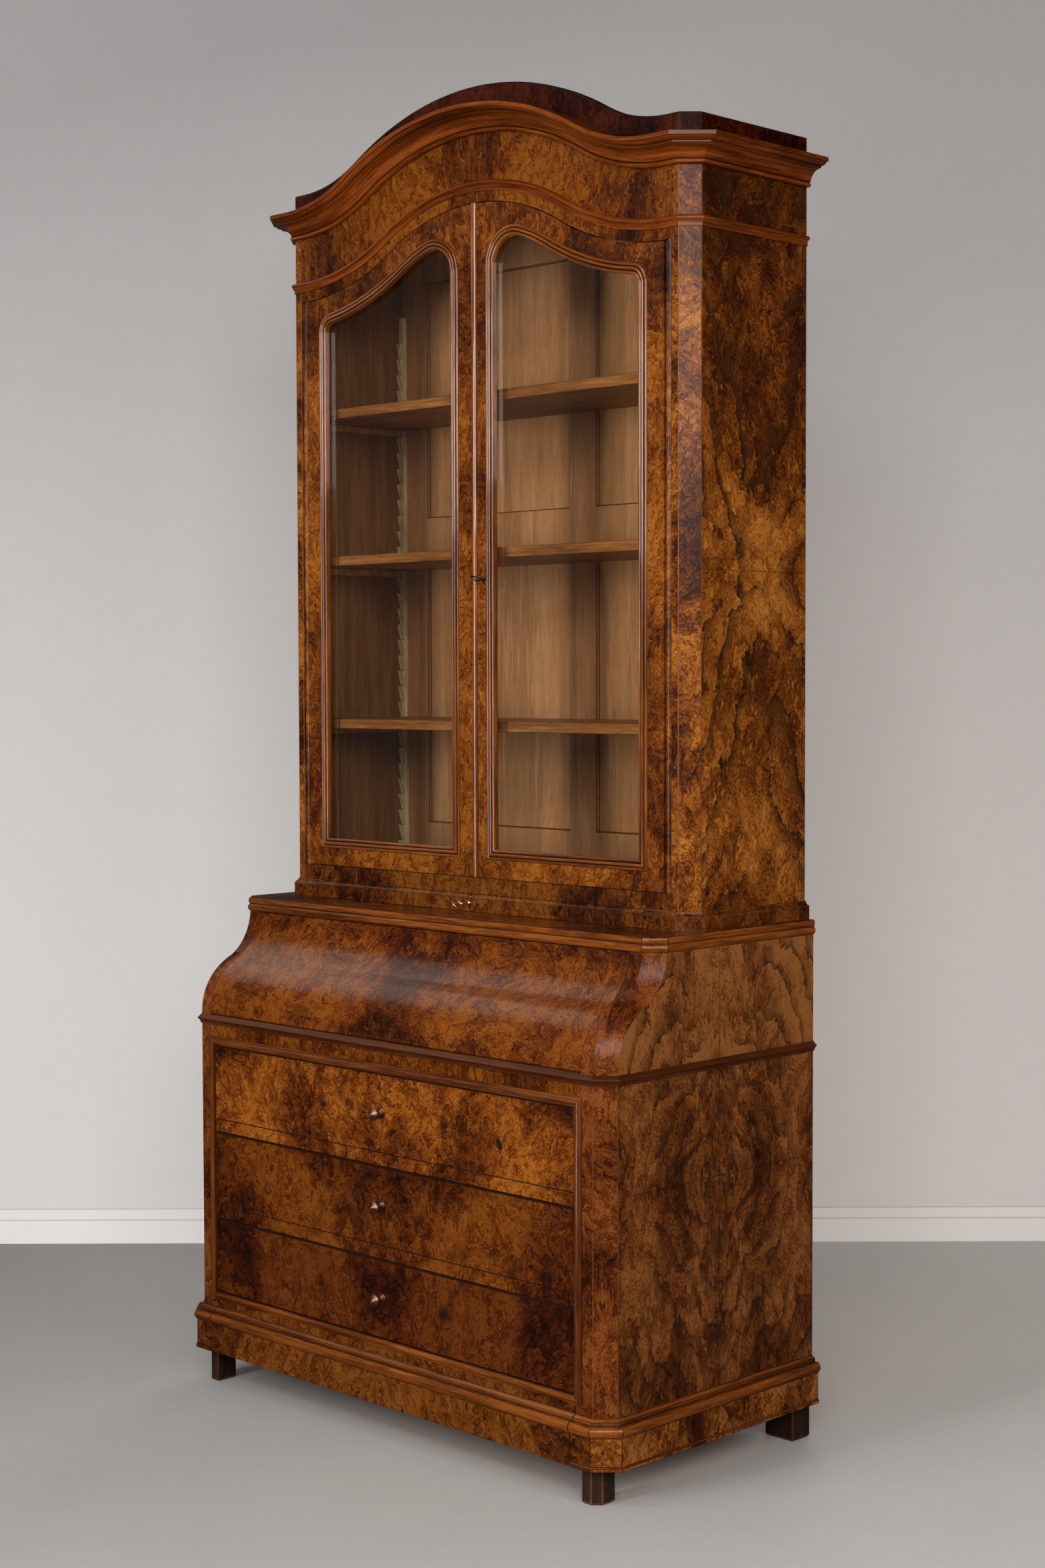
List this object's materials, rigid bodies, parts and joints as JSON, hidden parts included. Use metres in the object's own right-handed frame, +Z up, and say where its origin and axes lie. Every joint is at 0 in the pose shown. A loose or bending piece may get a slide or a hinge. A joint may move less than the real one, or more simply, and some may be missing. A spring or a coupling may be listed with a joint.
{
  "type": "secretary desk",
  "caption": "Tall secretary desk in walnut: arched glass-door bookcase above a slant desk with a curved drop front, over long drawers on a moulded plinth with block feet.",
  "frame": {"origin": "bottom centre of the whole piece, on the floor", "axes": "+Z up, the front with the doors and drawers faces -Y, +X to the right of someone facing it"},
  "size_m": [1.199, 0.594, 2.5403],
  "materials": {
    "walnut_burl": "polished burl walnut veneer",
    "walnut_solid": "polished solid walnut",
    "walnut_dark": "dark polished walnut, worn at the feet",
    "oak_interior": "matt oak, unpolished inside",
    "brass": "aged brass",
    "bronze": "browned brass",
    "glass": "clear window glass"
  },
  "bodies": {
    "case": {"side_left": "walnut_burl", "side_right": "walnut_burl", "lower_posts": "walnut_burl", "scroll_post_left": "walnut_burl", "scroll_post_right": "walnut_burl", "waist_rail": "walnut_burl", "plinth_left": "walnut_burl", "plinth_right": "walnut_burl", "bookcase_side_left": "walnut_burl", "bookcase_side_right": "walnut_burl", "bookcase_posts": "walnut_burl", "bookcase_floor": "walnut_burl", "frieze": "walnut_burl", "crest": "walnut_burl", "ledge": "walnut_burl", "upper_plinth": "walnut_burl", "drawer_frame": "walnut_solid", "frieze_moulding": "walnut_solid", "cornice": "walnut_solid", "waist_moulding": "walnut_dark", "feet_front": "walnut_dark", "feet_back": "walnut_dark", "bottom_board": "oak_interior", "dividers": "oak_interior", "lower_back": "oak_interior", "desk_bed": "oak_interior", "pigeonholes": "oak_interior", "bookcase_top": "oak_interior", "bookcase_back": "oak_interior", "shelves": "oak_interior", "shelf_strips": "oak_interior", "shelf_cleats": "oak_interior", "door_pins": "brass"},
    "fall": {"fall": "walnut_burl", "fall_pivots": "brass", "fall_lock": "brass"},
    "left_door": {"door_left": "walnut_burl", "glazing_left": "walnut_solid", "glass_left": "glass"},
    "right_door": {"door_right": "walnut_burl", "glazing_right": "walnut_solid", "glass_right": "glass", "astragal": "walnut_solid"},
    "door_key": {"door_key": "brass"},
    "drawer_key": {"drawer_key": "brass"},
    "key_drawer": {"key_drawer_front": "walnut_burl", "key_drawer_box": "oak_interior"},
    "plinth_drawer": {"plinth_drawer_front": "walnut_burl", "plinth_drawer_box": "oak_interior"},
    "small_drawer_left": {"small_drawer_left": "oak_interior"},
    "small_drawer_right": {"small_drawer_right": "oak_interior"},
    "drawer_1": {"drawer_1_front": "walnut_burl", "drawer_1_box": "oak_interior", "drawer_1_knob": "bronze"},
    "drawer_2": {"drawer_2_front": "walnut_burl", "drawer_2_box": "oak_interior", "drawer_2_knob": "bronze"},
    "drawer_3": {"drawer_3_front": "walnut_burl", "drawer_3_box": "oak_interior", "drawer_3_knob": "bronze"}
  },
  "joints": [
    {"name": "left_door_hinge", "type": "hinge", "parent": "case", "child": "left_door", "pos_m": [-0.495, -0.0199, 1.0374], "axis": [0, 0, -1], "range_deg": [0, 95]},
    {"name": "right_door_hinge", "type": "hinge", "parent": "case", "child": "right_door", "pos_m": [0.495, -0.0199, 1.0374], "axis": [0, 0, 1], "range_deg": [0, 95]},
    {"name": "fall_hinge", "type": "hinge", "parent": "case", "child": "fall", "pos_m": [0, -0.2675, 0.7515], "axis": [1, 0, 0], "range_deg": [0, 122.2]},
    {"name": "drawer_1_slide", "type": "slide", "parent": "case", "child": "drawer_1", "axis": [0, -1, 0], "range_m": [0, 0.38]},
    {"name": "drawer_2_slide", "type": "slide", "parent": "case", "child": "drawer_2", "axis": [0, -1, 0], "range_m": [0, 0.38]},
    {"name": "drawer_3_slide", "type": "slide", "parent": "case", "child": "drawer_3", "axis": [0, -1, 0], "range_m": [0, 0.38]},
    {"name": "plinth_drawer_slide", "type": "slide", "parent": "case", "child": "plinth_drawer", "axis": [0, -1, 0], "range_m": [0, 0.35]},
    {"name": "key_drawer_slide", "type": "slide", "parent": "case", "child": "key_drawer", "axis": [0, -1, 0], "range_m": [0, 0.2]},
    {"name": "small_drawer_left_slide", "type": "slide", "parent": "case", "child": "small_drawer_left", "axis": [0, -1, 0], "range_m": [0, 0.16]},
    {"name": "small_drawer_right_slide", "type": "slide", "parent": "case", "child": "small_drawer_right", "axis": [0, -1, 0], "range_m": [0, 0.16]},
    {"name": "door_key_turn", "type": "hinge", "parent": "right_door", "child": "door_key", "pos_m": [0.03, -0.0274, 1.6094], "axis": [0, -1, 0], "range_deg": [-62, 28]},
    {"name": "drawer_key_turn", "type": "hinge", "parent": "key_drawer", "child": "drawer_key", "pos_m": [0, -0.0382, 0.9894], "axis": [0, -1, 0], "range_deg": [-45, 45]}
  ]
}
